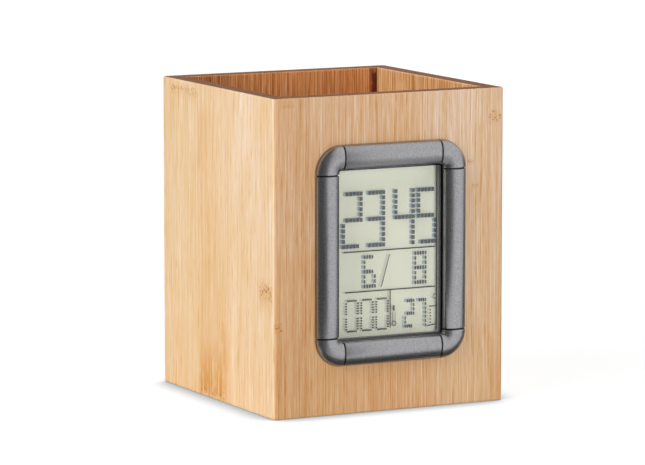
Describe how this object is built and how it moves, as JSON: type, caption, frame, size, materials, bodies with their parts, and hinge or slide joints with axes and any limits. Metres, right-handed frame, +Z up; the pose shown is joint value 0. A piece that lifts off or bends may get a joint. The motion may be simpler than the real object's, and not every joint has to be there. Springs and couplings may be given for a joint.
{
  "type": "pen holder clock",
  "caption": "Square bamboo pen holder with a push-in digital clock in its front wall: framed display, push buttons and a turning coin-cell cover at the back.",
  "frame": {"origin": "middle of the underside of the bottom panel, on the surface that the holder stands on", "axes": "+Z up through the open top, -Y out of the front wall that carries the clock, +X to the right as seen from the front"},
  "size_m": [0.081, 0.084, 0.1],
  "materials": {
    "bamboo": "satin clear lacquer over laminated bamboo strips",
    "grey_paint": "satin dark silver-grey paint with a fine metallic grain on moulded plastic",
    "black_plastic": "fine matte moulded plastic",
    "clear_lens": "polished clear plastic",
    "display_glass": "polished float glass",
    "reflector": "satin grey-green reflecting film",
    "rubber": "soft matte silicone",
    "button_plastic": "fine matte moulded plastic",
    "board": "solder-masked glass-fibre laminate",
    "black_resin": "cast black resin",
    "steel": "bright nickel-plated steel",
    "brass": "rolled brass sheet"
  },
  "bodies": {
    "holder": {"front_panel": "bamboo", "back_panel": "bamboo", "left_panel": "bamboo", "right_panel": "bamboo", "bottom_panel": "bamboo"},
    "clock": {"bezel_frame": "grey_paint", "display_lens": "clear_lens", "display_gasket": "rubber", "lcd_front_glass": "display_glass", "lcd_rear_glass": "display_glass", "lcd_reflector": "reflector", "display_tray": "black_plastic", "upper_contact_strip": "rubber", "lower_contact_strip": "rubber", "circuit_board": "board", "controller_chip": "black_resin", "quartz_crystal": "steel", "temperature_sensor": "black_resin", "piezo_buzzer": "brass", "keypad_mat": "rubber", "rear_housing": "black_plastic", "coin_cell": "steel", "negative_contact": "steel", "positive_contact": "steel", "housing_screw_1": "steel", "housing_screw_2": "steel", "housing_screw_3": "steel", "housing_screw_4": "steel"},
    "mode_button": {"mode_button": "button_plastic"},
    "set_button": {"set_button": "button_plastic"},
    "up_button": {"up_button": "button_plastic"},
    "down_button": {"down_button": "button_plastic"},
    "battery_cover": {"battery_cover": "black_plastic"}
  },
  "joints": [
    {"name": "clock_pull", "type": "slide", "parent": "holder", "child": "clock", "axis": [0, -1, 0], "range_m": [0, 0.02]},
    {"name": "mode_button_press", "type": "slide", "parent": "clock", "child": "mode_button", "axis": [0, -1, 0], "range_m": [0, 0.0008], "stiffness_N_per_m": 800, "springref_m": -0.0005},
    {"name": "set_button_press", "type": "slide", "parent": "clock", "child": "set_button", "axis": [0, -1, 0], "range_m": [0, 0.0008], "stiffness_N_per_m": 800, "springref_m": -0.0005},
    {"name": "up_button_press", "type": "slide", "parent": "clock", "child": "up_button", "axis": [0, -1, 0], "range_m": [0, 0.0008], "stiffness_N_per_m": 800, "springref_m": -0.0005},
    {"name": "down_button_press", "type": "slide", "parent": "clock", "child": "down_button", "axis": [0, -1, 0], "range_m": [0, 0.0008], "stiffness_N_per_m": 800, "springref_m": -0.0005},
    {"name": "battery_cover_turn", "type": "hinge", "parent": "clock", "child": "battery_cover", "pos_m": [0, -0.0262, 0.034], "axis": [0, 1, 0], "range_deg": [0, 40]}
  ]
}
